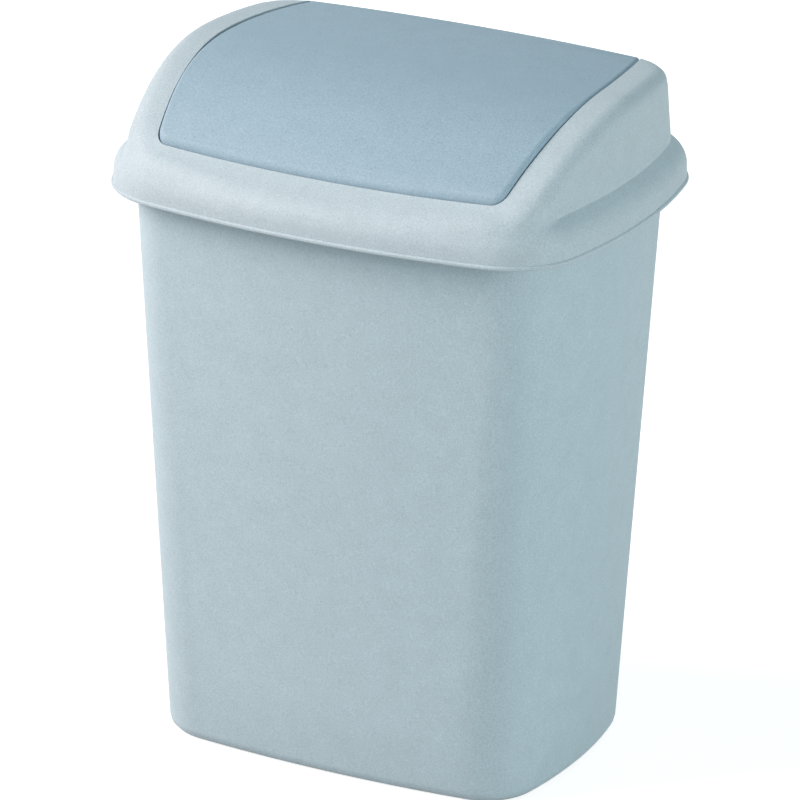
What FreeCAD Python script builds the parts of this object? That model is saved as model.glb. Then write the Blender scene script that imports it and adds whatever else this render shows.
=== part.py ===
"""Swing-lid kitchen bin: a tapered tub, a hood that drops over its rim and a flap that swings in the hood.

Millimetres, +Z up, front towards -Y, origin on the floor under the middle of the bin.
"""
import FreeCAD
import Part
import Sketcher
import math
import os

DOC = FreeCAD.newDocument("SwingBin")
DIMS = DOC.addObject("Spreadsheet::Sheet", "Dims")

SIZES = [
    # Outline of the lid's lower edge: four shallow bows joined by round corners.
    # Each bow is how far the middle of that side stands out beyond its ends.
    ("rim_width", 340.0),
    ("rim_depth", 263.0),
    ("rim_corner_radius", 55.0),
    ("rim_front_bow", 20.83),
    ("rim_side_bow", 22.17),
    # Tub
    ("lid_level", 374.4),
    ("base_width", 273.0),
    ("base_depth", 190.9),
    ("base_corner_radius", 38.9),
    ("base_front_bow", 10.32),
    ("base_side_bow", 14.72),
    ("base_round", 8.0),
    ("tub_wall", 2.2),
    ("tub_floor", 2.6),
    ("floor_chamfer", 4.0),
    ("foot_height", 3.4),
    ("foot_width", 14.0),
    ("mouth_inset", 15.5),
    ("seat_height", 11.6),
    ("flange_thickness", 2.4),
    ("flange_drop", 8.0),
    ("flange_lip", 2.0),
    ("flange_clearance", 1.0),
    # Lid skirt and shoulder
    ("lid_wall", 2.2),
    ("lip_proud", 1.1),
    ("lip_height", 2.8),
    ("lip_chamfer", 0.8),
    ("skirt_lean", 0.4),
    ("skirt_height", 18.1),
    ("shoulder_rise", 8.5),
    ("shoulder_run", 10.4),
    ("shoulder_round", 16.0),
    ("shoulder_drop", 1.6),
    # Hood: side cheeks, back wall and arched top
    ("cheek_lean", 4.6),
    ("cheek_round", 10.0),
    ("cheek_front_round", 16.0),
    ("round_grow_start", 56.5),
    ("round_grow_end", 25.5),
    ("front_reach", 7.0),
    ("arch_height", 76.6),
    ("arch_apex_y", 13.0),
    ("arch_front_drop", 44.93),
    ("arch_rear_radius", 760.0),
    ("ledge_angle", 29.0),
    ("ledge_rise", 0.3),
    ("ledge_blend", 30.0),
    # Opening in the hood
    ("cheek_width", 38.6),
    ("opening_side_bow", 11.86),
    ("ledge_width", 25.9),
    ("opening_front_bow", 4.86),
    ("opening_corner", 10.0),
    ("opening_rear_height", 55.6),
    ("opening_flange", 14.0),
    # Ribs under the shoulder that rest on the tub's rim
    ("rib_thickness", 1.8),
    ("rib_front_pitch", 80.0),
    ("rib_side_pitch", 45.0),
    ("rib_inner_inset", 14.0),
    ("seat_gap", 0.1),
    # Flap and its pivot
    ("flap_gap", 1.0),
    ("flap_stop_gap", 0.4),
    ("flap_wall", 2.2),
    ("flap_flange", 11.0),
    ("pivot_y", -4.7),
    ("pivot_height", 65.6),
    ("pin_radius", 3.0),
    ("pin_length", 5.0),
    ("pin_clearance", 0.08),
    ("pin_end_gap", 0.5),
    ("ear_radius", 7.5),
    ("ear_thickness", 4.0),
    ("boss_radius", 7.0),
    ("boss_floor", 1.6),
]

for row, (alias, number) in enumerate(SIZES, start=1):
    DIMS.set(f"A{row}", alias)
    DIMS.set(f"B{row}", str(number))
    DIMS.setAlias(f"B{row}", alias)
DOC.recompute()


def size(expression):
    """Number that an expression on the sheet comes to."""
    return float(DIMS.evalExpression(expression))


# Levels and insets that more than one piece uses, as expressions on the sheet
SEAT_LEVEL = "Dims.lid_level + Dims.seat_height"
SHOULDER_LEVEL = "Dims.lid_level + Dims.skirt_height"
CREASE_LEVEL = f"{SHOULDER_LEVEL} + Dims.shoulder_rise"
ARCH_LEVEL = "Dims.lid_level + Dims.arch_height"
PIVOT_LEVEL = "Dims.lid_level + Dims.pivot_height"
SKIRT_INSET = "Dims.lip_proud + Dims.skirt_lean"
CHEEK_INSET = f"{SKIRT_INSET} + Dims.shoulder_run"
LEDGE_RUN = "Dims.shoulder_rise / tan(Dims.ledge_angle)"
CUT_MARGIN = "20"
OPENING_HALF = "(Dims.rim_width / 2 - Dims.cheek_width)"
OPENING_FRONT = "(Dims.rim_depth / 2 - Dims.ledge_width)"


def bow_radius(reach, bow):
    """Radius of an arc that falls away by its bow over a reach from its middle."""
    return f"(({reach})^2 + ({bow})^2) / (2 * {bow})"


RIM_FRONT_RADIUS = bow_radius("Dims.rim_width / 2", "Dims.rim_front_bow")
RIM_SIDE_RADIUS = bow_radius("Dims.rim_depth / 2", "Dims.rim_side_bow")
BASE_FRONT_RADIUS = bow_radius("Dims.base_width / 2", "Dims.base_front_bow")
BASE_SIDE_RADIUS = bow_radius("Dims.base_depth / 2", "Dims.base_side_bow")
ARCH_FRONT_RADIUS = bow_radius(f"{OPENING_FRONT} + Dims.arch_apex_y", "Dims.arch_front_drop")
OPENING_FRONT_RADIUS = bow_radius(OPENING_HALF, "Dims.opening_front_bow")
OPENING_SIDE_RADIUS = bow_radius(f"{OPENING_FRONT} + Dims.pivot_y", "Dims.opening_side_bow")
# Heights and insets of the tub's rounded foot, as shares of its round
FOOT_STEPS = ((0, 1), (0.134, 0.5), (0.5, 0.134), (1, 0))
# A chamfer of this share of a round's radius lies wholly behind the round
CHAMFER_SHARE = 0.6


def plane_of(body, role):
    """One of the body's own origin planes."""
    return next(f for f in body.Origin.OriginFeatures if f.Role == role)


def new_body(name):
    body = DOC.addObject("PartDesign::Body", name)
    body.Label = name
    return body


def new_sketch(body, name, role, level="0"):
    """Empty sketch on an origin plane, moved along the plane's normal."""
    sketch = body.newObject("Sketcher::SketchObject", name)
    sketch.AttachmentSupport = [(plane_of(body, role), "")]
    sketch.MapMode = "FlatFace"
    sketch.setExpression("AttachmentOffset.Base.z", level)
    return sketch


def pin_down(sketch, kind, places, expression):
    """Adds one dimension to a sketch and binds it to the sheet."""
    index = sketch.addConstraint(Sketcher.Constraint(kind, *places, size(expression)))
    sketch.setExpression(f"Constraints[{index}]", expression)


def arc(centre, radius, start, end):
    circle = Part.Circle(FreeCAD.Vector(centre[0], centre[1], 0), FreeCAD.Vector(0, 0, 1), radius)
    return Part.ArcOfCircle(circle, start, end)


def heading(origin, target):
    return math.atan2(target[1] - origin[1], target[0] - origin[0])


def meet(first, first_radius, second, second_radius, side):
    """Point at given distances from two centres, on one side of the line between them."""
    gap = math.dist(first, second)
    along = (first_radius**2 - second_radius**2 + gap**2) / (2 * gap)
    across = side * math.sqrt(first_radius**2 - along**2)
    ux, uy = (second[0] - first[0]) / gap, (second[1] - first[1]) / gap
    return (first[0] + along * ux - across * uy, first[1] + along * uy + across * ux)


# Bowed outlines of the tub and the lid

def rim_outline(inset, front_extra="0"):
    """The lid's lower outline moved inwards, with its front moved further if asked."""
    return {
        "side": f"Dims.rim_width / 2 - ({inset})",
        "front": f"Dims.rim_depth / 2 - ({inset}) - ({front_extra})",
        "back": f"Dims.rim_depth / 2 - ({inset})",
        "corner": f"Dims.rim_corner_radius - ({inset})",
        "bow": f"{RIM_FRONT_RADIUS} - ({inset})",
        "side_bow": f"{RIM_SIDE_RADIUS} - ({inset})",
    }


def base_outline(inset):
    """The tub's outline above its rounded foot moved inwards."""
    return {
        "side": f"Dims.base_width / 2 - ({inset})",
        "front": f"Dims.base_depth / 2 - ({inset})",
        "back": f"Dims.base_depth / 2 - ({inset})",
        "corner": f"Dims.base_corner_radius - ({inset})",
        "bow": f"{BASE_FRONT_RADIUS} - ({inset})",
        "side_bow": f"{BASE_SIDE_RADIUS} - ({inset})",
    }


def draw_outline(body, name, outline, level):
    """Closed sketch of eight tangent arcs: a bow on each side and four round corners."""
    sketch = new_sketch(body, name, "XY_Plane", level)
    side, front, back = size(outline["side"]), size(outline["front"]), size(outline["back"])
    corner, bow, side_bow = size(outline["corner"]), size(outline["bow"]), size(outline["side_bow"])
    middles = [(0, bow - front), (side - side_bow, 0), (0, back - bow), (side_bow - side, 0)]
    radii = [bow, side_bow, bow, side_bow]
    corners = []
    for k in range(4):
        after = (k + 1) % 4
        corners.append(meet(middles[k], radii[k] - corner, middles[after], radii[after] - corner, 1))
        if corners[k][0] * (1, 1, -1, -1)[k] < 0 or corners[k][1] * (-1, 1, 1, -1)[k] < 0:
            corners[k] = meet(middles[k], radii[k] - corner, middles[after], radii[after] - corner, -1)
    arcs = []
    for k in range(4):
        before, after = corners[k - 1], corners[k]
        arcs.append(arc(middles[k], radii[k], heading(middles[k], before), heading(middles[k], after)))
        arcs.append(arc(after, corner, heading(middles[k], after), heading(middles[(k + 1) % 4], after)))
    sketch.addGeometry(arcs, False)
    for k in range(8):
        sketch.addConstraint(Sketcher.Constraint("Tangent", k, 2, (k + 1) % 8, 1))
    for k, axis in ((0, -2), (2, -1), (4, -2), (6, -1)):
        sketch.addConstraint(Sketcher.Constraint("PointOnObject", k, 3, axis))
    for k in (3, 5, 7):
        sketch.addConstraint(Sketcher.Constraint("Equal", 1, k))
    sketch.addConstraint(Sketcher.Constraint("Equal", 0, 4))
    sketch.addConstraint(Sketcher.Constraint("Equal", 2, 6))
    pin_down(sketch, "Radius", (1,), outline["corner"])
    pin_down(sketch, "Radius", (0,), outline["bow"])
    pin_down(sketch, "Radius", (2,), outline["side_bow"])
    pin_down(sketch, "DistanceY", (-1, 1, 0, 3), f"{outline['bow']} - ({outline['front']})")
    pin_down(sketch, "DistanceX", (2, 3, -1, 1), f"{outline['side_bow']} - ({outline['side']})")
    pin_down(sketch, "DistanceY", (4, 3, -1, 1), f"{outline['bow']} - ({outline['back']})")
    pin_down(sketch, "DistanceX", (-1, 1, 6, 3), f"{outline['side_bow']} - ({outline['side']})")
    return sketch


def loft(body, name, kind, lower, upper):
    """Straight-walled loft between two outlines, added or cut."""
    feature = body.newObject(f"PartDesign::{kind}Loft", name)
    feature.Profile = lower
    feature.Sections = [upper]
    feature.Ruled = True
    return feature


def stack(body, name, kind, sections):
    """Straight-walled lofts from each outline to the next one, given from the bottom up with levels."""
    sketches = [
        draw_outline(body, f"{name}Section{k}", outline, level)
        for k, (outline, level) in enumerate(sections, start=1)
    ]
    for k in range(1, len(sketches)):
        loft(body, f"{name}{k}", kind, sketches[k - 1], sketches[k])


def pad(body, name, sketch, length):
    feature = body.newObject("PartDesign::Pad", name)
    feature.Profile = sketch
    feature.setExpression("Length", length)
    return feature


def pocket_up(body, name, sketch, depth):
    """Cut that rises from its sketch."""
    feature = body.newObject("PartDesign::Pocket", name)
    feature.Profile = sketch
    feature.Reversed = True
    feature.setExpression("Length", depth)
    return feature


def round_edges(body, name, base, chosen, radius):
    """Fillet on the edges of a feature that a test picks out."""
    DOC.recompute()
    edges = [f"Edge{i}" for i, edge in enumerate(base.Shape.Edges, start=1) if chosen(edge)]
    feature = body.newObject("PartDesign::Fillet", name)
    feature.Base = (base, edges)
    feature.setExpression("Radius", radius)
    return feature


def lies_at(edge, level):
    """True for an edge that stays at one height."""
    box = edge.BoundBox
    return abs(box.ZMin - level) < 0.01 and abs(box.ZMax - level) < 0.01


# Tub

def make_tub():
    body = new_body("bin_body")
    flange_inset = f"{SKIRT_INSET} + Dims.lid_wall + Dims.flange_clearance"
    lip_inset = f"{flange_inset} + Dims.flange_lip"
    flange_foot = f"{SEAT_LEVEL} - Dims.flange_drop"
    hollow = "Dims.flange_drop - Dims.flange_thickness"
    floor = "Dims.foot_height + Dims.tub_floor"

    flange = draw_outline(body, "FlangeOutline", rim_outline(flange_inset), flange_foot)
    pad(body, "Flange", flange, "Dims.flange_drop")
    under = draw_outline(body, "FlangeUnderside", rim_outline(lip_inset), flange_foot)
    pocket_up(body, "FlangeHollow", under, hollow)

    foot = [
        (base_outline(f"{inset} * Dims.base_round"), f"{height} * Dims.base_round")
        for height, inset in FOOT_STEPS
    ]
    stack(body, "Wall", "Additive", [*foot, (rim_outline("Dims.mouth_inset"), SEAT_LEVEL)])
    stack(body, "Inside", "Subtractive", [
        (base_outline("Dims.tub_wall + Dims.floor_chamfer"), floor),
        (base_outline("Dims.tub_wall"), f"{floor} + Dims.floor_chamfer"),
        (rim_outline("Dims.mouth_inset + Dims.tub_wall"), SEAT_LEVEL),
    ])

    recess = draw_outline(body, "FootOutline", base_outline("Dims.foot_width"), "0")
    pocket_up(body, "FootRecess", recess, "Dims.foot_height")
    return body


# Hood forms that the lid and the flap share

def draw_arch(body, name, depth):
    """Everything above the hood's arched top, seen from the side, with the top sunk by a depth."""
    sketch = new_sketch(body, name, "YZ_Plane")
    apex = (size("Dims.arch_apex_y"), size(ARCH_LEVEL))
    sunk = size(depth)
    rear, front = size("Dims.arch_rear_radius"), size(ARCH_FRONT_RADIUS)
    blend, slope = size("Dims.ledge_blend"), math.radians(size("Dims.ledge_angle"))
    face = f"Dims.rim_depth / 2 - ({SKIRT_INSET})"
    beyond = f"Dims.rim_depth / 2 + {CUT_MARGIN}"
    ceiling = f"{ARCH_LEVEL} + {CUT_MARGIN}"
    ledge_end = (
        f"{SHOULDER_LEVEL} + Dims.ledge_rise"
        f" - tan(Dims.ledge_angle) * ({beyond} - ({face})) - ({depth}) / cos(Dims.ledge_angle)"
    )
    rear_centre = (apex[0], apex[1] - rear)
    front_centre = (apex[0], apex[1] - front)
    ledge_foot = (-size(beyond), size(ledge_end))
    normal = (-math.sin(slope), math.cos(slope))
    # The blend's centre keeps its distance from the ledge and from the front arc
    on_line = tuple(ledge_foot[k] + normal[k] * (blend + sunk) for k in (0, 1))
    along = (math.cos(slope), math.sin(slope))
    to_centre = (on_line[0] - front_centre[0], on_line[1] - front_centre[1])
    half_b = along[0] * to_centre[0] + along[1] * to_centre[1]
    gap = to_centre[0]**2 + to_centre[1]**2 - (front + blend)**2
    run = -half_b - math.sqrt(half_b**2 - gap)
    blend_centre = (on_line[0] + along[0] * run, on_line[1] + along[1] * run)
    ledge_head = tuple(blend_centre[k] - normal[k] * (blend + sunk) for k in (0, 1))
    tail_y = size(beyond)
    tail_z = rear_centre[1] + math.sqrt((rear - sunk)**2 - (tail_y - apex[0])**2)
    top = size(ceiling)
    foot, head, front_top, rear_top, rear_end = (
        FreeCAD.Vector(y, z, 0)
        for y, z in (ledge_foot, ledge_head, (ledge_foot[0], top), (tail_y, top), (tail_y, tail_z))
    )
    sketch.addGeometry([
        arc(rear_centre, rear - sunk, heading(rear_centre, (tail_y, tail_z)), math.pi / 2),
        arc(front_centre, front - sunk, math.pi / 2, heading(front_centre, blend_centre)),
        arc(blend_centre, blend + sunk, heading(blend_centre, ledge_head),
            heading(blend_centre, front_centre)),
        Part.LineSegment(foot, head),
        Part.LineSegment(foot, front_top),
        Part.LineSegment(front_top, rear_top),
        Part.LineSegment(rear_top, rear_end),
    ], False)
    for places in ((0, 2, 1, 1), (1, 2, 2, 2), (2, 1, 3, 2)):
        sketch.addConstraint(Sketcher.Constraint("Tangent", *places))
    for places in ((3, 1, 4, 1), (4, 2, 5, 1), (5, 2, 6, 1), (6, 2, 0, 1)):
        sketch.addConstraint(Sketcher.Constraint("Coincident", *places))
    sketch.addConstraint(Sketcher.Constraint("Vertical", 4))
    sketch.addConstraint(Sketcher.Constraint("Horizontal", 5))
    sketch.addConstraint(Sketcher.Constraint("Vertical", 6))
    pin_down(sketch, "Radius", (0,), f"Dims.arch_rear_radius - ({depth})")
    pin_down(sketch, "Radius", (1,), f"{ARCH_FRONT_RADIUS} - ({depth})")
    pin_down(sketch, "Radius", (2,), f"Dims.ledge_blend + ({depth})")
    pin_down(sketch, "DistanceX", (-1, 1, 0, 3), "Dims.arch_apex_y")
    pin_down(sketch, "DistanceX", (-1, 1, 1, 3), "Dims.arch_apex_y")
    pin_down(sketch, "DistanceY", (0, 3, -1, 1), f"Dims.arch_rear_radius - ({ARCH_LEVEL})")
    pin_down(sketch, "DistanceX", (3, 1, -1, 1), beyond)
    pin_down(sketch, "DistanceY", (-1, 1, 3, 1), ledge_end)
    index = sketch.addConstraint(Sketcher.Constraint("Angle", 3, slope))
    sketch.setExpression(f"Constraints[{index}]", "Dims.ledge_angle * 1 deg")
    pin_down(sketch, "DistanceY", (-1, 1, 4, 2), ceiling)
    pin_down(sketch, "DistanceX", (-1, 1, 5, 2), beyond)
    return sketch


def on_arch(shape, edge):
    """True for an edge between the arched top and a wall."""
    tops = 0
    for face in shape.ancestorsOfType(edge, Part.Face):
        u0, u1, v0, v1 = face.ParameterRange
        normal = face.normalAt((u0 + u1) / 2, (v0 + v1) / 2)
        tops += abs(normal.x) < 0.001 and normal.z > 0.4
    return tops == 1


def cheek_radius(y, front_round):
    """Radius of the hood's edge at a distance from the middle: it grows towards the front corners."""
    start, end = size("Dims.round_grow_start"), size("Dims.round_grow_end")
    behind = size("Dims.rim_depth / 2") + y
    share = min(1, max(0, (start - behind) / (start - end)))
    ease = share**2 * (3 - 2 * share)
    return size("Dims.cheek_round") + ease * size(f"{front_round} - Dims.cheek_round")


def make_hood(name, depth, front_round="Dims.cheek_round", chamfered=False):
    """The hood's form, cheeks, back and arched top, sunk everywhere by a depth."""
    body = new_body(name)
    foot = f"{SHOULDER_LEVEL} - Dims.skirt_height / 2"
    head = f"{ARCH_LEVEL} + {CUT_MARGIN}"
    lean = "tan(Dims.cheek_lean)"
    low_inset = f"{CHEEK_INSET} - ({CREASE_LEVEL} - ({foot})) * {lean} + ({depth})"
    high_inset = f"{CHEEK_INSET} + ({head} - ({CREASE_LEVEL})) * {lean} + ({depth})"
    low = draw_outline(body, f"{name}Foot", rim_outline(low_inset, "-Dims.front_reach"), foot)
    high = draw_outline(body, f"{name}Head", rim_outline(high_inset, "-Dims.front_reach"), head)
    loft(body, f"{name}Walls", "Additive", low, high)
    top = body.newObject("PartDesign::Pocket", f"{name}Top")
    top.Profile = draw_arch(body, f"{name}Arch", depth)
    top.SideType = "Symmetric"
    top.setExpression("Length", f"Dims.rim_width + {CUT_MARGIN}")
    if size(depth) >= size("Dims.cheek_round"):
        return body
    DOC.recompute()
    kind = "Chamfer" if chamfered else "Fillet"
    softened = DOC.addObject(f"Part::{kind}", f"{name}{kind}")
    softened.Base = body
    chamfer = CHAMFER_SHARE * size(f"{front_round} - ({depth})")
    edges = []
    for index, edge in enumerate(body.Shape.Edges, start=1):
        if on_arch(body.Shape, edge):
            ends = [edge.Vertexes[k].Point.y for k in (0, -1)]
            radii = [cheek_radius(y, front_round) - size(depth) for y in ends]
            edges.append((index, chamfer, chamfer) if chamfered else (index, *radii))
    softened.Edges = edges
    return softened


# Lid: skirt, shoulder and lip round the tub's rim

def make_rim():
    body = new_body("RimForm")
    lip_top = "Dims.lid_level + Dims.lip_height"
    stack(body, "Lip", "Additive", [
        (rim_outline("Dims.lip_chamfer"), "Dims.lid_level"),
        (rim_outline("0"), "Dims.lid_level + Dims.lip_chamfer"),
        (rim_outline("0"), f"{lip_top} - Dims.lip_chamfer"),
        (rim_outline("Dims.lip_chamfer"), lip_top),
    ])
    hem = draw_outline(body, "SkirtFoot", rim_outline("Dims.lip_proud"), "Dims.lid_level")
    bend = draw_outline(body, "SkirtHead", rim_outline(SKIRT_INSET), SHOULDER_LEVEL)
    crest_outline = rim_outline(CHEEK_INSET, f"{LEDGE_RUN} - Dims.shoulder_run")
    crest = draw_outline(body, "ShoulderHead", crest_outline, CREASE_LEVEL)
    loft(body, "Skirt", "Additive", hem, bend)
    shoulder = loft(body, "Shoulder", "Additive", bend, crest)
    level = size(SHOULDER_LEVEL)
    round_edges(body, "ShoulderRound", shoulder, lambda edge: lies_at(edge, level), "Dims.shoulder_round")
    return body


def make_rim_void():
    """Room inside the skirt and the shoulder, open below."""
    body = new_body("RimVoid")
    inset = f"{SKIRT_INSET} + Dims.lid_wall"
    foot = f"Dims.lid_level - {CUT_MARGIN}"
    bend_level = f"{SHOULDER_LEVEL} - Dims.shoulder_drop"
    crest_level = f"{CREASE_LEVEL} - Dims.shoulder_drop"
    crest_outline = rim_outline(f"{CHEEK_INSET} + Dims.lid_wall", f"{LEDGE_RUN} - Dims.shoulder_run")
    skirt = draw_outline(body, "VoidFoot", rim_outline(inset), foot)
    pad(body, "VoidSkirt", skirt, f"{bend_level} - ({foot})")
    bend = draw_outline(body, "VoidBend", rim_outline(inset), bend_level)
    crest = draw_outline(body, "VoidCrest", crest_outline, crest_level)
    loft(body, "VoidShoulder", "Additive", bend, crest)
    return body


# Opening in the hood, also the flap's outline

def draw_opening(body, name, grow, level):
    """Opening seen from above: bowed front and sides, round front corners, run out past the back wall."""
    sketch = new_sketch(body, name, "XY_Plane", level)
    half, front = size(OPENING_HALF), size(OPENING_FRONT)
    side_bow, front_bow = size(OPENING_SIDE_RADIUS), size(OPENING_FRONT_RADIUS)
    corner, wider = size("Dims.opening_corner"), size(grow)
    swing_y = size("Dims.pivot_y")
    behind = f"Dims.rim_depth / 2 + {CUT_MARGIN}"
    tail = size(behind)
    front_centre = (0, front_bow - front)
    right_centre = (half - side_bow, swing_y)
    corner_centre = meet(front_centre, front_bow - corner, right_centre, side_bow - corner, 1)
    if corner_centre[0] < 0 or corner_centre[1] > 0:
        corner_centre = meet(front_centre, front_bow - corner, right_centre, side_bow - corner, -1)
    reach = math.sqrt((side_bow + wider)**2 - (tail - swing_y)**2)
    tail_x = right_centre[0] + reach
    low, high = heading(front_centre, corner_centre), heading(right_centre, corner_centre)
    rise = heading(right_centre, (tail_x, tail))
    low_left, high_left, rise_left = (math.pi - angle for angle in (low, high, rise))
    sketch.addGeometry([
        arc(front_centre, front_bow + wider, low_left, low),
        arc(corner_centre, corner + wider, low, high),
        arc(right_centre, side_bow + wider, high, rise),
        Part.LineSegment(FreeCAD.Vector(tail_x, tail, 0), FreeCAD.Vector(-tail_x, tail, 0)),
        arc((-right_centre[0], swing_y), side_bow + wider, rise_left, high_left),
        arc((-corner_centre[0], corner_centre[1]), corner + wider, high_left, low_left),
    ], False)
    for places in ((0, 2, 1, 1), (1, 2, 2, 1), (4, 2, 5, 1), (5, 2, 0, 1)):
        sketch.addConstraint(Sketcher.Constraint("Tangent", *places))
    for places in ((2, 2, 3, 1), (3, 2, 4, 1)):
        sketch.addConstraint(Sketcher.Constraint("Coincident", *places))
    sketch.addConstraint(Sketcher.Constraint("Horizontal", 3))
    sketch.addConstraint(Sketcher.Constraint("Equal", 2, 4))
    sketch.addConstraint(Sketcher.Constraint("Equal", 1, 5))
    sketch.addConstraint(Sketcher.Constraint("PointOnObject", 0, 3, -2))
    pin_down(sketch, "Radius", (0,), f"{OPENING_FRONT_RADIUS} + ({grow})")
    pin_down(sketch, "Radius", (1,), f"Dims.opening_corner + ({grow})")
    pin_down(sketch, "Radius", (2,), f"{OPENING_SIDE_RADIUS} + ({grow})")
    pin_down(sketch, "DistanceY", (-1, 1, 0, 3), f"{OPENING_FRONT_RADIUS} - {OPENING_FRONT}")
    for place in ((2, 3, -1, 1), (-1, 1, 4, 3)):
        pin_down(sketch, "DistanceX", place, f"{OPENING_SIDE_RADIUS} - {OPENING_HALF}")
    for k in (2, 4):
        pin_down(sketch, "DistanceY", (k, 3, -1, 1), "-Dims.pivot_y")
    pin_down(sketch, "DistanceY", (-1, 1, 3, 1), behind)
    return sketch


def draw_block(body, name, left, right, bottom, top):
    """Rectangle seen from the side."""
    sketch = new_sketch(body, name, "YZ_Plane")
    y0, y1, z0, z1 = size(left), size(right), size(bottom), size(top)
    corners = [FreeCAD.Vector(y, z, 0) for y, z in ((y0, z0), (y1, z0), (y1, z1), (y0, z1))]
    sketch.addGeometry([Part.LineSegment(corners[k], corners[(k + 1) % 4]) for k in range(4)], False)
    for k in range(4):
        sketch.addConstraint(Sketcher.Constraint("Coincident", k, 2, (k + 1) % 4, 1))
        sketch.addConstraint(Sketcher.Constraint("Horizontal" if k % 2 == 0 else "Vertical", k))
    pin_down(sketch, "DistanceX", (-1, 1, 0, 1), left)
    pin_down(sketch, "DistanceX", (-1, 1, 0, 2), right)
    pin_down(sketch, "DistanceY", (-1, 1, 0, 1), bottom)
    pin_down(sketch, "DistanceY", (-1, 1, 2, 1), top)
    return sketch


def make_opening(name, grow, rear_lift):
    """Space cut out of the hood: open upwards and to the back, down to the opening's rear edge there."""
    body = new_body(name)
    foot = f"Dims.lid_level - {CUT_MARGIN} / 2"
    rear_level = f"Dims.lid_level + Dims.opening_rear_height + ({rear_lift})"
    height = f"{ARCH_LEVEL} + {CUT_MARGIN} - ({foot})"
    pad(body, f"{name}Space", draw_opening(body, f"{name}Outline", grow, foot), height)
    rear = draw_block(
        body, f"{name}RearBlock", f"{OPENING_FRONT} / 2", f"Dims.rim_depth / 2 + 2 * {CUT_MARGIN}",
        f"{foot} - {CUT_MARGIN} / 2", rear_level,
    )
    step = body.newObject("PartDesign::Pocket", f"{name}Rear")
    step.Profile = rear
    step.SideType = "Symmetric"
    step.setExpression("Length", "Dims.rim_width")
    return body


# Solids put together from the forms above

def join(name, kind, *pieces):
    """Fuse or common of several pieces."""
    result = DOC.addObject(f"Part::Multi{kind}", name)
    result.Shapes = list(pieces)
    return result


def cut(name, base, tool):
    result = DOC.addObject("Part::Cut", name)
    result.Base = base
    result.Tool = tool
    return result


def rod(name, radius, start, end, mirrored):
    """Round bar across the bin on the pivot line, between two distances from the middle."""
    bar = DOC.addObject("Part::Cylinder", name)
    bar.setExpression("Radius", radius)
    bar.setExpression("Height", f"{end} - ({start})")
    bar.Placement.Rotation = FreeCAD.Rotation(FreeCAD.Vector(0, 1, 0), 90)
    bar.setExpression("Placement.Base.x", f"-({end})" if mirrored else start)
    bar.setExpression("Placement.Base.y", "Dims.pivot_y")
    bar.setExpression("Placement.Base.z", PIVOT_LEVEL)
    return bar


def rod_pair(name, radius, start, end):
    return [rod(f"{name}Right", radius, start, end, False), rod(f"{name}Left", radius, start, end, True)]


def plate(name, length, width, x, y):
    """Upright plate for the seat ribs, from the seat up to the crease."""
    box = DOC.addObject("Part::Box", name)
    foot = f"{SEAT_LEVEL} + Dims.seat_gap"
    box.setExpression("Length", length)
    box.setExpression("Width", width)
    box.setExpression("Height", f"{CREASE_LEVEL} - ({foot})")
    box.setExpression("Placement.Base.x", f"{x} - ({length}) / 2")
    box.setExpression("Placement.Base.y", f"{y} - ({width}) / 2")
    box.setExpression("Placement.Base.z", foot)
    return box


def make_ribs(outside):
    """Short ribs under the shoulder, whose feet rest on the tub's rim."""
    ring = new_body("RibRing")
    foot = f"{SEAT_LEVEL} + Dims.seat_gap"
    height = f"{CREASE_LEVEL} - ({foot})"
    outer = rim_outline(f"{SKIRT_INSET} + Dims.lid_wall / 2")
    pad(ring, "RibBand", draw_outline(ring, "RibOuter", outer, foot), height)
    inner = draw_outline(ring, "RibInner", rim_outline("Dims.rib_inner_inset"), foot)
    pocket_up(ring, "RibBandHole", inner, f"{height} + {CUT_MARGIN}")
    plates = []
    for k in (-1, 0, 1):
        plates.append(plate(f"FrontRibs{k + 2}", "Dims.rib_thickness", "Dims.rim_depth",
                            f"{k} * Dims.rib_front_pitch", "0"))
    for k in (-1, 1):
        plates.append(plate(f"SideRibs{(k + 3) // 2}", "Dims.rim_width", "Dims.rib_thickness",
                            "0", f"{k} * Dims.rib_side_pitch"))
    return join("Ribs", "Common", ring, join("RibPlates", "Fuse", *plates), outside)


def make_lid(hood, even_hood):
    half = OPENING_HALF
    outside = join("LidOutside", "Fuse", hood, make_rim())
    hood_void = make_hood("HoodVoid", "Dims.lid_wall", "Dims.cheek_front_round", chamfered=True)
    inside = join("LidInside", "Fuse", hood_void, make_rim_void())
    shell = cut("LidShell", outside, inside)
    opening = make_opening("Opening", "0", "0")
    pierced = cut("PiercedShell", shell, opening)
    around = cut("OpeningEdge", make_opening("OpeningRing", "Dims.lid_wall", "-Dims.lid_wall"), opening)
    skin = cut("FlangeZone", even_hood, make_hood("FlangeCore", "Dims.opening_flange"))
    flange = join("OpeningFlange", "Common", around, skin)
    socket_end = f"{half} + Dims.pin_length + Dims.pin_end_gap"
    boss_start, boss_end = f"{half} + Dims.lid_wall / 2", f"{socket_end} + Dims.boss_floor"
    bosses = rod_pair("Boss", "Dims.boss_radius", boss_start, boss_end)
    bore = "Dims.pin_radius + Dims.pin_clearance"
    sockets = rod_pair("Socket", bore, f"{half} - Dims.flap_gap", socket_end)
    solid = join("LidSolid", "Fuse", pierced, flange, make_ribs(outside), *bosses)
    return cut("lid_frame", solid, join("Sockets", "Fuse", *sockets))


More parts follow.
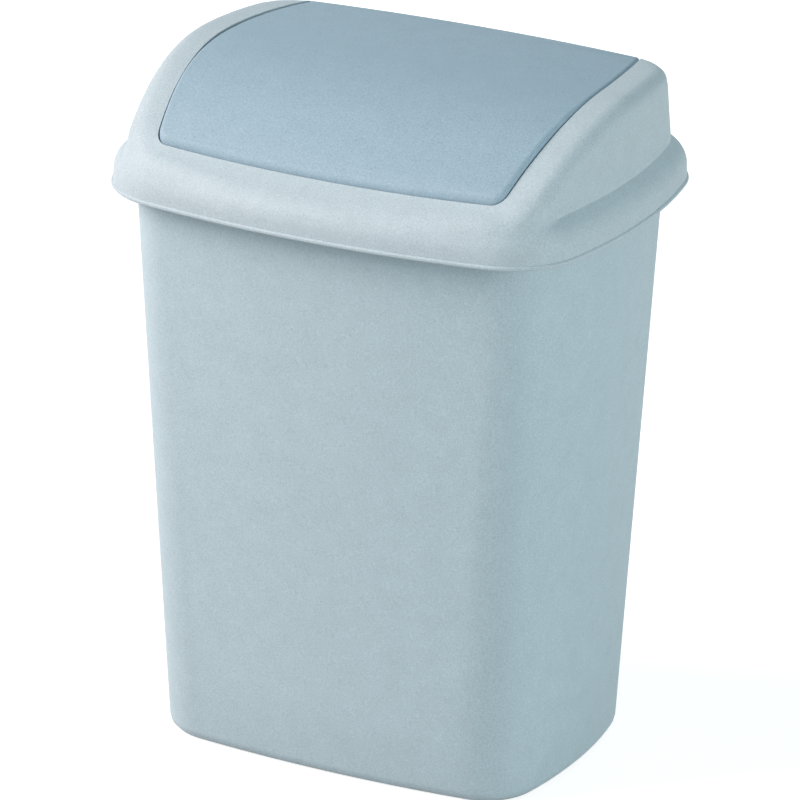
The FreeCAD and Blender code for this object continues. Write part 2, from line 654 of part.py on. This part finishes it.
def make_flap(hood):
    half = f"{OPENING_HALF} - Dims.flap_gap"
    space = make_opening("FlapSpace", "-Dims.flap_gap", "Dims.flap_stop_gap")
    blank = join("FlapBlank", "Common", hood, space)
    core_space = make_opening(
        "FlapCoreSpace", "-Dims.flap_gap - Dims.flap_wall", "Dims.flap_stop_gap + Dims.flap_wall"
    )
    core = join("FlapCore", "Common", make_hood("FlapVoid", "Dims.flap_wall", chamfered=True), core_space)
    shell = cut("FlapShell", blank, core)
    panel = cut("FlapPanel", shell, make_hood("FlapFlangeCore", "Dims.flap_flange"))
    ear_start, ear_end = f"{half} - Dims.ear_thickness", f"{half} - Dims.flap_wall / 2"
    ears = rod_pair("Ear", "Dims.ear_radius", ear_start, ear_end)
    pin_end = f"{OPENING_HALF} + Dims.pin_length"
    pins = rod_pair("Pin", "Dims.pin_radius", f"{half} - Dims.flap_wall", pin_end)
    return join("swing_flap", "Fuse", panel, *ears, *pins)


def check(nodes):
    """Stops if any object failed or a sub-part isn't one sound solid."""
    failed = [thing.Name for thing in DOC.Objects if {"Invalid", "Error"} & set(thing.State)]
    if failed:
        raise RuntimeError(f"failed objects: {failed}")
    for node in nodes:
        shape = node.Shape
        if shape.isNull() or not shape.isValid() or len(shape.Solids) != 1:
            raise RuntimeError(f"{node.Label} is not one sound solid")


flap_form = make_hood("FlapForm", "0")
parts = [
    make_tub(),
    make_lid(make_hood("HoodForm", "0", "Dims.cheek_front_round"), flap_form),
    make_flap(flap_form),
]
DOC.recompute()
check(parts)
os.makedirs("parts", exist_ok=True)
for part in parts:
    part.Shape.exportStep(f"parts/{part.Label}.step")
    box = part.Shape.BoundBox
    spans = [round(v, 2) for v in (box.XLength, box.YLength, box.ZMin, box.ZMax)]
    print(part.Label, round(part.Shape.Volume), spans)
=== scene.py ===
"""Looks of a swing-lid kitchen bin: pale grained tub and hood, blue-grey flap, white studio."""
import math

import bpy
from mathutils import Matrix, Vector


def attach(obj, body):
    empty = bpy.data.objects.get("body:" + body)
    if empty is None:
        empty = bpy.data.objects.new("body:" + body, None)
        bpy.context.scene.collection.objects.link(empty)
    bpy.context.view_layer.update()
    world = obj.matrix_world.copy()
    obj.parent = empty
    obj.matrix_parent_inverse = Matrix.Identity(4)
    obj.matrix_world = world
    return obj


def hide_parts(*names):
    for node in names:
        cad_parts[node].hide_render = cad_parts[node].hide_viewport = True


MERGE_DISTANCE = 1e-5
SMOOTH_ANGLE = math.radians(32)
ROLL_ANGLE = math.radians(40)
FLAT_ANGLE = math.radians(1.0)
# Flap, in metres: where its front rises and by how much, where its ears and rear lip are, its rolled rim
PROUD_SPAN = (0.013, -0.07)
PROUD_RISE = 0.0036
EAR_SPAN = (-0.014, 0.005)
EAR_TOP = 0.4485
REAR_LIP_START = 0.06
ROLL_WIDTH, ROLL_SEGMENTS = 0.0030, 5
# Parts of a unit normal: most sideways, and least upwards or backwards, on the flap's outside
SIDEWAYS_MOST, FACING_LEAST = 0.15, 0.2
# Hood, in metres: where its front and cheeks soften, and the inner bend that is drawn in first
HOOD_MIDDLE = Vector((0, 0, 0.385))
SOFT_SPAN = (-0.080, -0.108)
CHEEK_SPAN = (0.408, 0.420)
CHEEK_SHARE = 0.3
FOOT_SPAN = (0.379, 0.388)
BEND_SPAN = (0.3902, 0.3916)
BEND_SCALE = (0.995, 0.994, 0.6)
SPLIT_LENGTH = 0.004
SPLIT_ROUNDS = 5
SOFT_ROUNDS, SOFT_FACTOR = 30, 0.5

# Camera, fitted to the photograph: angles in degrees, lengths in metres, offsets across the view
VIEW_TARGET = Vector((0, 0, 0.25))
VIEW_YAW, VIEW_PITCH, VIEW_ROLL = 26.97, 21.49, 0.84
VIEW_DISTANCE = 4.2407
VIEW_RIGHT, VIEW_UP = 0.0013, -0.0232
SENSOR_WIDTH, LENS = 36.0, 299.18

# Plastics: linear colour, grain, mottle, specks and the share of cells with a speck
TUB_PLASTIC = ((0.495, 0.596, 0.641), 0.55, 0.12, 0.12, 0.10)
HOOD_PLASTIC = ((0.512, 0.585, 0.622), 0.55, 0.12, 0.15, 0.12)
FLAP_PLASTIC = ((0.341, 0.452, 0.530), 0.65, 0.10, 0.25, 0.5)
# Grain: scale and detail of the fine and the soft noise, cells of the specks, range of roughness
FINE_SCALE, FINE_DETAIL = 1000.0, 2.0
SOFT_SCALE, SOFT_DETAIL = 70.0, 3.0
CELL_SCALE, SPECK_RADIUS = 210.0, 0.10
ROUGH_LEAST, ROUGH_SPAN = 0.47, 0.18
PLASTIC_SPECULAR = 0.4
BUMP_STRENGTH, BUMP_DISTANCE = 0.12, 0.0003

# Studio
WHITE = (1.0, 1.0, 1.0, 1.0)
WORLD_COLOUR = (0.27, 0.36, 0.382)
FLOOR_RADIUS, FLOOR_SIDES = 7.0, 64
FLOOR_COLOUR = (0.45, 0.45, 0.45, 1.0)
FLOOR_ROUGHNESS = 0.9
# Glow of the floor to the camera: near and far distance, glow at each
FLOOR_FADE = (0.8, 2.5, 0.80, 1.0)
# Soft boxes: name, azimuth and elevation in degrees, width, power, colour, seen in reflections
LIGHT_DISTANCE = 4.0
LIGHTS = (
    ("key_light", -58, 34, 2.4, 178, (1.0, 0.912, 0.898), True),
    ("back_light", -165, 4, 2.0, 40, (0.97, 0.99, 1.0), False),
    ("fill_light", 74, 8, 2.0, 74, (0.924, 0.991, 1.0), True),
)


# Tools for meshes

def deselect():
    if bpy.context.object and bpy.context.object.mode != "OBJECT":
        bpy.ops.object.mode_set(mode="OBJECT")
    bpy.ops.object.select_all(action="DESELECT")


def take(piece):
    """Makes one piece the selected and active object."""
    deselect()
    piece.select_set(True)
    bpy.context.view_layer.objects.active = piece


def moulding(frame, node, name, body, material):
    """Smooth copy of a CAD node with its triangles joined, which shows in the node's place."""
    take(frame["nodes"][node])
    bpy.ops.object.duplicate()
    piece = bpy.context.object
    piece.name = name
    piece.data.name = name
    bpy.ops.object.mode_set(mode="EDIT")
    bpy.ops.mesh.select_all(action="SELECT")
    bpy.ops.mesh.customdata_custom_splitnormals_clear()
    bpy.ops.mesh.remove_doubles(threshold=MERGE_DISTANCE)
    bpy.ops.object.mode_set(mode="OBJECT")
    bpy.ops.object.shade_smooth_by_angle(angle=SMOOTH_ANGLE, keep_sharp_edges=False)
    piece.data.materials.clear()
    piece.data.materials.append(material)
    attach(piece, body)
    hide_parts(node)
    return piece


def outer_face(normal, centre):
    """True for a face of the flap's arched outside, front to back, but not of its ears and pins."""
    if EAR_SPAN[0] < centre.y < EAR_SPAN[1] and centre.z < EAR_TOP:
        return False
    if abs(normal.x) >= SIDEWAYS_MOST:
        return False
    return normal.z > FACING_LEAST or (normal.y > FACING_LEAST and centre.y > REAR_LIP_START)


def ease(value, start, end):
    """Smooth step from 0 at the start to 1 at the end."""
    share = min(1, max(0, (value - start) / (end - start)))
    return share * share * (3 - 2 * share)


def weigh(piece, name, weight):
    """Vertex group whose weights come from each vertex's place."""
    group = piece.vertex_groups.new(name=name)
    for vertex in piece.data.vertices:
        amount = weight(vertex)
        if amount > 0:
            group.add([vertex.index], amount, "REPLACE")


def shape_with(piece, kind, **values):
    """Adds one modifier and applies it."""
    take(piece)
    modifier = piece.modifiers.new(kind.lower(), kind)
    for name, value in values.items():
        setattr(modifier, name, value)
    bpy.ops.object.modifier_apply(modifier=modifier.name)


def raise_front(piece):
    """Lifts the flap's outside so that its front edge stands proud of the ledge."""
    mesh = piece.data
    outside = set()
    for face in mesh.polygons:
        if outer_face(face.normal, face.center):
            outside.update(face.vertices)
    weigh(piece, "proud", lambda v: ease(v.co.y, *PROUD_SPAN) if v.index in outside else 0)
    shape_with(
        piece, "DISPLACE", direction="Z", mid_level=0.0, strength=PROUD_RISE, vertex_group="proud"
    )


def outward(face):
    """True for a face of the hood that looks away from the bin's inside."""
    return face.normal.dot(face.center - HOOD_MIDDLE) > 0


def draw_in_bend(piece):
    """Moves the inner bend under the shoulder inwards, clear of the softened outside."""
    take(piece)
    bpy.ops.object.mode_set(mode="EDIT")
    bpy.ops.mesh.select_mode(type="VERT")
    bpy.ops.mesh.select_all(action="DESELECT")
    bpy.ops.object.mode_set(mode="OBJECT")
    outside = set()
    for face in piece.data.polygons:
        if outward(face):
            outside.update(face.vertices)
    for vertex in piece.data.vertices:
        near = BEND_SPAN[0] < vertex.co.z < BEND_SPAN[1]
        vertex.select = near and vertex.index not in outside
    bpy.ops.object.mode_set(mode="EDIT")
    bpy.ops.transform.resize(value=BEND_SCALE, center_override=HOOD_MIDDLE)
    bpy.ops.object.mode_set(mode="OBJECT")


def soften_front(piece):
    """Smooths the hood's front corners and ledge, where the real moulding has no crease."""
    take(piece)
    bpy.ops.object.mode_set(mode="EDIT")
    bpy.ops.mesh.select_mode(type="EDGE")
    for _ in range(SPLIT_ROUNDS):
        bpy.ops.mesh.select_all(action="DESELECT")
        bpy.ops.object.mode_set(mode="OBJECT")
        mesh = piece.data
        chosen = set()
        for face in mesh.polygons:
            front = face.center.y < SOFT_SPAN[0] and face.center.z > FOOT_SPAN[0]
            if outward(face) and (front or face.center.z > CHEEK_SPAN[0]):
                chosen.update(face.edge_keys)
        for edge in mesh.edges:
            a, b = (mesh.vertices[k].co for k in edge.vertices)
            edge.select = edge.key in chosen and (a - b).length > SPLIT_LENGTH
        bpy.ops.object.mode_set(mode="EDIT")
        bpy.ops.mesh.subdivide(number_cuts=1)
        bpy.ops.mesh.select_all(action="SELECT")
        bpy.ops.mesh.quads_convert_to_tris(quad_method="SHORTEST_DIAGONAL", ngon_method="BEAUTY")
        bpy.ops.mesh.dissolve_degenerate(threshold=MERGE_DISTANCE)
    bpy.ops.object.mode_set(mode="OBJECT")
    free, held = set(), set()
    for face in piece.data.polygons:
        (free if outward(face) else held).update(face.vertices)

    def weight(vertex):
        if vertex.index in held or vertex.index not in free:
            return 0
        front = ease(vertex.co.y, *SOFT_SPAN) * ease(vertex.co.z, *FOOT_SPAN)
        return max(front, CHEEK_SHARE * ease(vertex.co.z, *CHEEK_SPAN))

    weigh(piece, "soft_front", weight)
    shape_with(
        piece, "SMOOTH", factor=SOFT_FACTOR, iterations=SOFT_ROUNDS, vertex_group="soft_front"
    )
    bpy.ops.object.shade_smooth_by_angle(angle=SMOOTH_ANGLE, keep_sharp_edges=False)


def roll_edge(piece):
    """Rounds the sharp rim of the flap's outside."""
    take(piece)
    bpy.ops.object.mode_set(mode="EDIT")
    bpy.ops.mesh.select_mode(type="EDGE")
    bpy.ops.mesh.select_all(action="SELECT")
    bpy.ops.mesh.dissolve_limited(angle_limit=FLAT_ANGLE)
    bpy.ops.mesh.select_all(action="DESELECT")
    bpy.ops.object.mode_set(mode="OBJECT")
    mesh = piece.data
    outside = [outer_face(face.normal, face.center) for face in mesh.polygons]
    faces_of = {}
    for face in mesh.polygons:
        for key in face.edge_keys:
            faces_of.setdefault(key, []).append(face.index)
    for edge in mesh.edges:
        faces = faces_of[edge.key]
        if len(faces) == 2 and outside[faces[0]] != outside[faces[1]]:
            bend = mesh.polygons[faces[0]].normal.angle(mesh.polygons[faces[1]].normal)
            edge.select = bend > ROLL_ANGLE
    bpy.ops.object.mode_set(mode="EDIT")
    bpy.ops.mesh.bevel(
        offset=ROLL_WIDTH, segments=ROLL_SEGMENTS, loop_slide=False, clamp_overlap=False
    )
    bpy.ops.mesh.select_all(action="SELECT")
    bpy.ops.mesh.remove_doubles(threshold=MERGE_DISTANCE)
    bpy.ops.mesh.dissolve_degenerate(threshold=MERGE_DISTANCE)
    bpy.ops.object.mode_set(mode="OBJECT")
    bpy.ops.object.shade_smooth_by_angle(angle=SMOOTH_ANGLE, keep_sharp_edges=False)


# Materials

def put_node(tree, kind, x, y, **values):
    node = tree.nodes.new(kind)
    node.location = (x, y)
    for name, value in values.items():
        setattr(node, name, value)
    return node


def math_node(tree, operation, x, y, first, second):
    node = put_node(tree, "ShaderNodeMath", x, y, operation=operation)
    for socket, value in zip(node.inputs, (first, second)):
        if isinstance(value, (int, float)):
            socket.default_value = value
        else:
            tree.links.new(value, socket)
    return node.outputs[0]


def grain_group():
    """Fine speckle, soft mottling and stray dark specks of moulded plastic."""
    group = bpy.data.node_groups.new("moulded_grain", "ShaderNodeTree")
    face = group.interface
    face.new_socket("Colour", in_out="INPUT", socket_type="NodeSocketColor")
    for name, start in (("Grain", 0.4), ("Mottle", 0.1), ("Specks", 0.3), ("Share", 0.15)):
        socket = face.new_socket(name, in_out="INPUT", socket_type="NodeSocketFloat")
        socket.default_value = start
    face.new_socket("Colour", in_out="OUTPUT", socket_type="NodeSocketColor")
    face.new_socket("Roughness", in_out="OUTPUT", socket_type="NodeSocketFloat")
    face.new_socket("Height", in_out="OUTPUT", socket_type="NodeSocketFloat")
    given = put_node(group, "NodeGroupInput", -900, 0)
    place = put_node(group, "ShaderNodeTexCoord", -900, -300).outputs["Object"]

    fine = put_node(group, "ShaderNodeTexNoise", -650, 100)
    fine.inputs["Scale"].default_value = FINE_SCALE
    fine.inputs["Detail"].default_value = FINE_DETAIL
    soft = put_node(group, "ShaderNodeTexNoise", -650, -150)
    soft.inputs["Scale"].default_value = SOFT_SCALE
    soft.inputs["Detail"].default_value = SOFT_DETAIL
    cells = put_node(group, "ShaderNodeTexVoronoi", -650, -400)
    cells.inputs["Scale"].default_value = CELL_SCALE
    for texture in (fine, soft, cells):
        group.links.new(place, texture.inputs["Vector"])

    grain = math_node(group, "SUBTRACT", -400, 100, fine.outputs["Fac"], 0.5)
    grain = math_node(group, "MULTIPLY", -250, 100, grain, given.outputs["Grain"])
    mottle = math_node(group, "SUBTRACT", -400, -150, soft.outputs["Fac"], 0.5)
    mottle = math_node(group, "MULTIPLY", -250, -150, mottle, given.outputs["Mottle"])
    split = put_node(group, "ShaderNodeSeparateColor", -450, -400)
    group.links.new(cells.outputs["Color"], split.inputs["Color"])
    share = given.outputs["Share"]
    chosen = math_node(group, "LESS_THAN", -280, -350, split.outputs["Red"], share)
    near = math_node(group, "LESS_THAN", -280, -500, cells.outputs["Distance"], SPECK_RADIUS)
    speck = math_node(group, "MULTIPLY", -120, -400, chosen, near)
    speck = math_node(group, "MULTIPLY", 20, -400, speck, given.outputs["Specks"])
    level = math_node(group, "ADD", -100, 0, grain, mottle)
    level = math_node(group, "ADD", 40, 0, level, 1.0)
    level = math_node(group, "SUBTRACT", 180, -100, level, speck)

    shade = put_node(group, "ShaderNodeVectorMath", 340, 100, operation="SCALE")
    group.links.new(given.outputs["Colour"], shade.inputs[0])
    group.links.new(level, shade.inputs["Scale"])
    rough = math_node(group, "MULTIPLY", 340, -150, fine.outputs["Fac"], ROUGH_SPAN)
    rough = math_node(group, "ADD", 480, -150, rough, ROUGH_LEAST)
    out = put_node(group, "NodeGroupOutput", 700, 0)
    group.links.new(shade.outputs["Vector"], out.inputs["Colour"])
    group.links.new(rough, out.inputs["Roughness"])
    group.links.new(fine.outputs["Fac"], out.inputs["Height"])
    return group


def plastic(name, grain, colour, speckle, mottle, specks, share):
    """Matt moulded plastic with a fine grain."""
    material = bpy.data.materials.new(name)
    material.use_nodes = True
    tree = material.node_tree
    shader = tree.nodes["Principled BSDF"]
    shader.inputs["Specular IOR Level"].default_value = PLASTIC_SPECULAR
    look = put_node(tree, "ShaderNodeGroup", -500, 100, node_tree=grain)
    look.inputs["Colour"].default_value = (*colour, 1.0)
    look.inputs["Grain"].default_value = speckle
    look.inputs["Mottle"].default_value = mottle
    look.inputs["Specks"].default_value = specks
    look.inputs["Share"].default_value = share
    bump = put_node(tree, "ShaderNodeBump", -250, -200)
    bump.inputs["Strength"].default_value = BUMP_STRENGTH
    bump.inputs["Distance"].default_value = BUMP_DISTANCE
    tree.links.new(look.outputs["Colour"], shader.inputs["Base Color"])
    tree.links.new(look.outputs["Roughness"], shader.inputs["Roughness"])
    tree.links.new(look.outputs["Height"], bump.inputs["Height"])
    tree.links.new(bump.outputs["Normal"], shader.inputs["Normal"])
    return material


# Studio

def studio_floor():
    """Wide white floor that keeps a soft shadow."""
    deselect()
    bpy.ops.mesh.primitive_circle_add(
        vertices=FLOOR_SIDES, radius=FLOOR_RADIUS, fill_type="NGON", location=(0, 0, 0)
    )
    floor = bpy.context.object
    floor.name = "studio_floor"
    material = bpy.data.materials.new("studio_white")
    material.use_nodes = True
    tree = material.node_tree
    shader = tree.nodes["Principled BSDF"]
    shader.inputs["Base Color"].default_value = FLOOR_COLOUR
    shader.inputs["Roughness"].default_value = FLOOR_ROUGHNESS
    shader.inputs["Specular IOR Level"].default_value = 0.0
    path = put_node(tree, "ShaderNodeLightPath", -500, -200)
    rays = path.outputs
    seen = math_node(tree, "MAXIMUM", -300, -200, rays["Is Camera Ray"], rays["Is Glossy Ray"])
    seen = math_node(tree, "MAXIMUM", -150, -200, seen, rays["Is Transmission Ray"])
    glow = put_node(tree, "ShaderNodeEmission", 0, -250)
    glow.inputs["Color"].default_value = WHITE
    place = put_node(tree, "ShaderNodeTexCoord", -500, -500)
    away = put_node(tree, "ShaderNodeVectorMath", -300, -500, operation="LENGTH")
    tree.links.new(place.outputs["Object"], away.inputs[0])
    fade = put_node(tree, "ShaderNodeMapRange", -150, -500)
    for name, value in zip(("From Min", "From Max", "To Min", "To Max"), FLOOR_FADE):
        fade.inputs[name].default_value = value
    tree.links.new(away.outputs["Value"], fade.inputs["Value"])
    power = math_node(tree, "MULTIPLY", 0, -400, seen, fade.outputs["Result"])
    tree.links.new(power, glow.inputs["Strength"])
    both = put_node(tree, "ShaderNodeAddShader", 300, 0)
    tree.links.new(shader.outputs["BSDF"], both.inputs[0])
    tree.links.new(glow.outputs["Emission"], both.inputs[1])
    tree.links.new(both.outputs["Shader"], tree.nodes["Material Output"].inputs["Surface"])
    floor.data.materials.append(material)


def studio_world(colour):
    """Even white surroundings, plain white to the camera."""
    world = bpy.data.worlds.new("studio_world")
    bpy.context.scene.world = world
    world.use_nodes = True
    tree = world.node_tree
    even = tree.nodes["Background"]
    even.inputs["Color"].default_value = (*colour, 1.0)
    white = put_node(tree, "ShaderNodeBackground", 0, -200)
    white.inputs["Color"].default_value = WHITE
    path = put_node(tree, "ShaderNodeLightPath", -300, 300)
    mix = put_node(tree, "ShaderNodeMixShader", 250, 0)
    tree.links.new(path.outputs["Is Camera Ray"], mix.inputs["Fac"])
    tree.links.new(even.outputs["Background"], mix.inputs[1])
    tree.links.new(white.outputs["Background"], mix.inputs[2])
    tree.links.new(mix.outputs["Shader"], tree.nodes["World Output"].inputs["Surface"])


def direction(azimuth, elevation):
    """Unit vector from the bin towards a viewer or a light, by angles in radians."""
    level = math.cos(elevation)
    return Vector((math.sin(azimuth) * level, -math.cos(azimuth) * level, math.sin(elevation)))


def soft_box(name, azimuth, elevation, width, power, colour, glossy):
    """Square soft light that looks at the bin from a direction."""
    back = direction(math.radians(azimuth), math.radians(elevation))
    data = bpy.data.lights.new(name, "AREA")
    data.energy = power
    data.color = colour
    data.size = width
    lamp = bpy.data.objects.new(name, data)
    lamp.visible_glossy = glossy
    lamp.location = VIEW_TARGET + back * LIGHT_DISTANCE
    lamp.rotation_euler = (-back).to_track_quat("-Z", "Y").to_euler()
    bpy.context.collection.objects.link(lamp)


def photo_camera():
    """Camera that sees the bin as the photograph does."""
    a, e, roll = (math.radians(angle) for angle in (VIEW_YAW, VIEW_PITCH, VIEW_ROLL))
    back = direction(a, e)
    level = Vector((math.cos(a), math.sin(a), 0))
    upright = back.cross(level)
    right = math.cos(roll) * level + math.sin(roll) * upright
    up = math.cos(roll) * upright - math.sin(roll) * level
    data = bpy.data.cameras.new("photo_camera")
    data.sensor_width = SENSOR_WIDTH
    data.lens = LENS
    data.clip_end = 50.0
    camera = bpy.data.objects.new("photo_camera", data)
    turn = Matrix((right, up, back)).transposed().to_4x4()
    spot = VIEW_TARGET + right * VIEW_RIGHT + up * VIEW_UP + back * VIEW_DISTANCE
    camera.matrix_world = Matrix.Translation(spot) @ turn
    bpy.context.collection.objects.link(camera)
    bpy.context.scene.camera = camera


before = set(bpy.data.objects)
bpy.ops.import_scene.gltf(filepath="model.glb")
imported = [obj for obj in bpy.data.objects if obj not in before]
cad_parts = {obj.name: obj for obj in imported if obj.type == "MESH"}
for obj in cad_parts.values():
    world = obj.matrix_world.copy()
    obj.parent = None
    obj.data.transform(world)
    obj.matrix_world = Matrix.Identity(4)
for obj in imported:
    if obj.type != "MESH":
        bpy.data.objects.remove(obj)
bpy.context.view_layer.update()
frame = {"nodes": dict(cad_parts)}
bpy.context.scene.view_settings.view_transform = "Standard"
photo_camera()
studio_floor()
studio_world(WORLD_COLOUR)
for light in LIGHTS:
    soft_box(*light)

grain = grain_group()
tub_plastic = plastic("tub_plastic", grain, *TUB_PLASTIC)
hood_plastic = plastic("hood_plastic", grain, *HOOD_PLASTIC)
flap_plastic = plastic("flap_plastic", grain, *FLAP_PLASTIC)
moulding(frame, "bin_body", "tub", "bin", tub_plastic)
hood = moulding(frame, "lid_frame", "hood", "lid", hood_plastic)
draw_in_bend(hood)
soften_front(hood)
flap = moulding(frame, "swing_flap", "flap", "flap", flap_plastic)
raise_front(flap)
roll_edge(flap)
